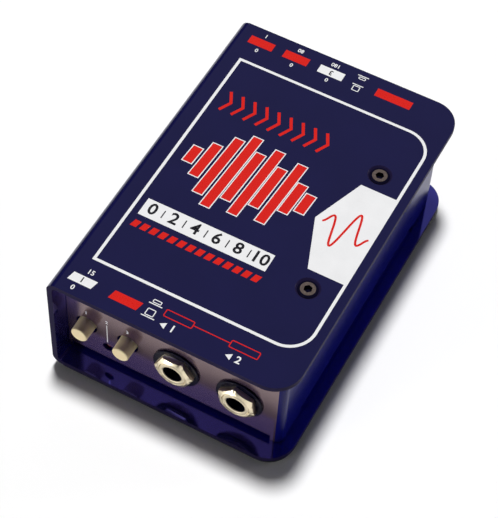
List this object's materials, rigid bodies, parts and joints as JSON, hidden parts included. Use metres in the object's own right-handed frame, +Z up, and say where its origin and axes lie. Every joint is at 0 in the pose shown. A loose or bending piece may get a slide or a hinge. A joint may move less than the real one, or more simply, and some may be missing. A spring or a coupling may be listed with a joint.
{
  "type": "direct injection box",
  "caption": "Small steel stage box with a wrap-round sleeve, overhanging plates, plug sockets, push buttons, a lamp and a pin connector",
  "frame": {"origin": "under the middle of the rubber pad, on the surface the box stands on", "axes": "+Z up, -Y towards the front panel with the jacks, -X towards the closed wall of the sleeve"},
  "size_m": [0.084, 0.127, 0.046],
  "materials": {
    "blue_enamel": "dark navy baked enamel, glossy inside, satin on the printed top",
    "black_rubber": "matt sheet rubber",
    "black_steel": "black oxide with an oiled sheen",
    "black_shell": "black, fine satin",
    "bright_nickel": "bright nickel plate",
    "spring_brass": "plain spring brass",
    "black_nylon": "moulded black nylon",
    "cream_plastic": "cream moulded caps, soft gloss",
    "white_plastic": "white acetal",
    "green_board": "green solder mask over glass laminate",
    "red_lens": "red lamp body, unlit",
    "blue_sleeve": "shrunk sleeve over an aluminium can",
    "red_film": "dipped red film capacitor",
    "grey_ferrite": "ferrite bobbin",
    "tinned_steel": "zinc plated steel",
    "white_ink": "screen-printed white ink on the top plate",
    "red_ink": "screen-printed red ink on the top plate"
  },
  "bodies": {
    "case": {"board_screw_left_front": "tinned_steel", "board_screw_left_rear": "tinned_steel", "board_screw_right_front": "tinned_steel", "board_screw_right_rear": "tinned_steel", "bottom_screw_front": "black_steel", "bottom_screw_rear": "black_steel", "circuit_board": "green_board", "coupling_capacitor_1": "blue_sleeve", "coupling_capacitor_2": "blue_sleeve", "coupling_capacitor_3": "blue_sleeve", "coupling_capacitor_4": "blue_sleeve", "film_capacitor_1": "red_film", "film_capacitor_2": "red_film", "ground_switch_body": "black_nylon", "indicator_led": "red_lens", "indicator_led_spacer": "black_nylon", "inner_chassis": "blue_enamel", "input_amplifier": "black_nylon", "input_jack_body": "black_nylon", "input_jack_bush": "bright_nickel", "input_jack_nut": "bright_nickel", "input_jack_sleeve_spring": "spring_brass", "input_jack_tip_spring": "spring_brass", "input_jack_washer": "black_nylon", "low_cut_switch_body": "black_nylon", "merge_switch_body": "black_nylon", "no_slip_pad": "black_rubber", "outer_shell": "blue_enamel", "output_connector_insert": "black_nylon", "output_connector_pin_1": "bright_nickel", "output_connector_pin_2": "bright_nickel", "output_connector_pin_3": "bright_nickel", "output_connector_screw_1": "black_steel", "output_connector_screw_2": "black_steel", "output_connector_shell": "black_shell", "output_driver": "black_nylon", "pad_switch_body": "black_nylon", "polarity_switch_body": "black_nylon", "supply_coil": "grey_ferrite", "supply_transistor_1": "black_nylon", "supply_transistor_2": "black_nylon", "thru_jack_body": "black_nylon", "thru_jack_bush": "bright_nickel", "thru_jack_nut": "bright_nickel", "thru_jack_sleeve_spring": "spring_brass", "thru_jack_tip_spring": "spring_brass", "thru_jack_washer": "black_nylon", "top_screw_front": "black_steel", "top_screw_rear": "black_steel"},
    "pad_push": {"pad_button": "cream_plastic", "pad_switch_plunger": "white_plastic"},
    "merge_push": {"merge_button": "cream_plastic", "merge_switch_plunger": "white_plastic"},
    "ground_push": {"ground_button": "cream_plastic", "ground_switch_plunger": "white_plastic"},
    "low_cut_push": {"low_cut_button": "cream_plastic", "low_cut_switch_plunger": "white_plastic"},
    "polarity_push": {"polarity_button": "cream_plastic", "polarity_switch_plunger": "white_plastic"}
  },
  "joints": [
    {"name": "pad_press", "type": "slide", "parent": "case", "child": "pad_push", "axis": [0, 1, 0], "range_m": [0, 0.003], "stiffness_N_per_m": 400, "springref_m": -0.002},
    {"name": "merge_press", "type": "slide", "parent": "case", "child": "merge_push", "axis": [0, 1, 0], "range_m": [0, 0.003], "stiffness_N_per_m": 400, "springref_m": -0.002},
    {"name": "ground_press", "type": "slide", "parent": "case", "child": "ground_push", "axis": [0, -1, 0], "range_m": [0, 0.003], "stiffness_N_per_m": 400, "springref_m": -0.002},
    {"name": "low_cut_press", "type": "slide", "parent": "case", "child": "low_cut_push", "axis": [0, -1, 0], "range_m": [0, 0.003], "stiffness_N_per_m": 400, "springref_m": -0.002},
    {"name": "polarity_press", "type": "slide", "parent": "case", "child": "polarity_push", "axis": [0, -1, 0], "range_m": [0, 0.003], "stiffness_N_per_m": 400, "springref_m": -0.002}
  ]
}
